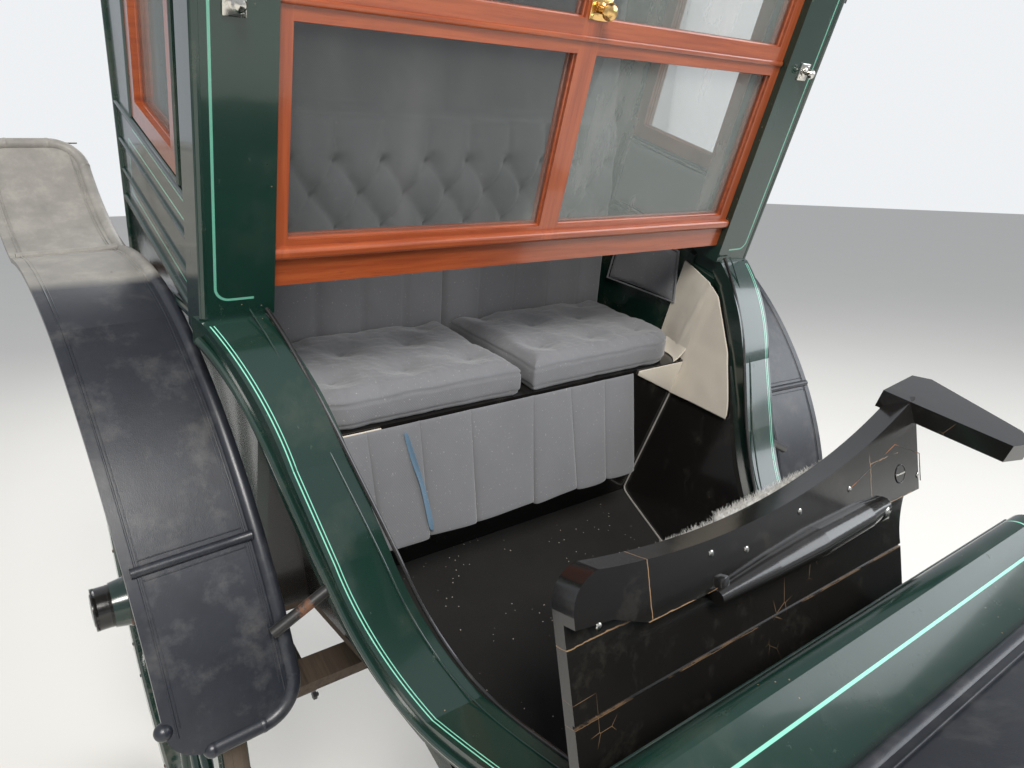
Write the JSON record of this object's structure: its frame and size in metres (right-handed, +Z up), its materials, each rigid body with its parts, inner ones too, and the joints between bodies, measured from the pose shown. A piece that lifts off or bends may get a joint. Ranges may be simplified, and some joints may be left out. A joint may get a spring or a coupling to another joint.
{
  "type": "two-wheeled horse-drawn cab",
  "caption": "Closed two-wheeled cab for one horse, driver's seat high behind, folding glass front, wings over tall spoked wheels, parked on its shafts",
  "frame": {"origin": "middle of the box round the parked cab, on the ground", "axes": "+X forward along the shafts, +Y to the cab's left, +Z up"},
  "size_m": [3.8785, 1.7358, 2.584],
  "materials": {
    "green_paint": "gloss coach paint over wood",
    "black_paint": "gloss black paint",
    "varnished_wood": "varnished mahogany",
    "bare_wood": "dark stained boards",
    "grey_cloth": "buttoned grey cloth",
    "cream_cloth": "cloth-covered boards",
    "black_leather": "patent leather, worn",
    "black_carpet": "carpet",
    "iron": "black painted iron",
    "nickel": "nickel plate, worn",
    "glass": "clear",
    "tyre": "solid rubber, dusty"
  },
  "bodies": {
    "root": {"knee_rail_left": "green_paint", "body_side_left": "green_paint", "lower_side_left": "green_paint", "footwell_side_left": "black_paint", "knee_rail_right": "green_paint", "body_side_right": "green_paint", "lower_side_right": "green_paint", "footwell_side_right": "black_paint", "axle": "iron", "springs": "iron", "shaft_left": "green_paint", "shaft_right": "green_paint", "cross_members": "bare_wood", "cross_bar": "iron", "pillar_left": "green_paint", "pillar_right": "green_paint", "back_panel": "green_paint", "floor_boards": "bare_wood", "floor_carpet": "black_carpet", "front_wall": "black_paint", "lower_sash": "varnished_wood", "upper_sash": "varnished_wood", "front_glass": "glass", "sill_board": "varnished_wood", "front_header": "varnished_wood", "side_window_frames": "varnished_wood", "side_glass": "glass", "seat_box": "black_paint", "seat_cushion_left": "grey_cloth", "seat_cushion_right": "grey_cloth", "seat_back": "grey_cloth", "seat_skirt": "grey_cloth", "side_trims": "cream_cloth", "flap_hinge": "iron", "dash_board": "green_paint", "dash_leather": "black_leather", "wing_left": "black_leather", "wing_right": "black_leather", "wing_stays": "iron", "roof": "black_paint", "driver_irons": "iron", "driver_seat": "black_paint", "driver_cushion": "black_leather", "driver_rail": "iron", "driver_footboard": "black_paint", "steps": "iron", "lamp_sockets": "iron"},
    "wheel_left": {"wheel_left": "green_paint", "tyre_left": "tyre", "hub_cap_left": "nickel"},
    "wheel_right": {"wheel_right": "green_paint", "tyre_right": "tyre", "hub_cap_right": "nickel"},
    "knee_flap": {"knee_flap": "black_paint", "flap_lining": "grey_cloth", "flap_grip": "black_paint"},
    "trap_door": {"trap_door": "black_paint"}
  },
  "joints": [
    {"name": "wheel_left_spin", "type": "hinge", "parent": "root", "child": "wheel_left", "pos_m": [-1.25934, 0.688, 0.68], "axis": [0, 1, 0], "continuous": true},
    {"name": "wheel_right_spin", "type": "hinge", "parent": "root", "child": "wheel_right", "pos_m": [-1.25934, -0.688, 0.68], "axis": [0, 1, 0], "continuous": true},
    {"name": "knee_flap_fold", "type": "hinge", "parent": "root", "child": "knee_flap", "pos_m": [-0.12224, 0, 0.81967], "axis": [0, -1, 0], "range_deg": [0, 50]},
    {"name": "trap_door_hinge", "type": "hinge", "parent": "root", "child": "trap_door", "pos_m": [-0.68248, 0, 2.41413], "axis": [0, 1, 0], "range_deg": [0, 110]}
  ]
}
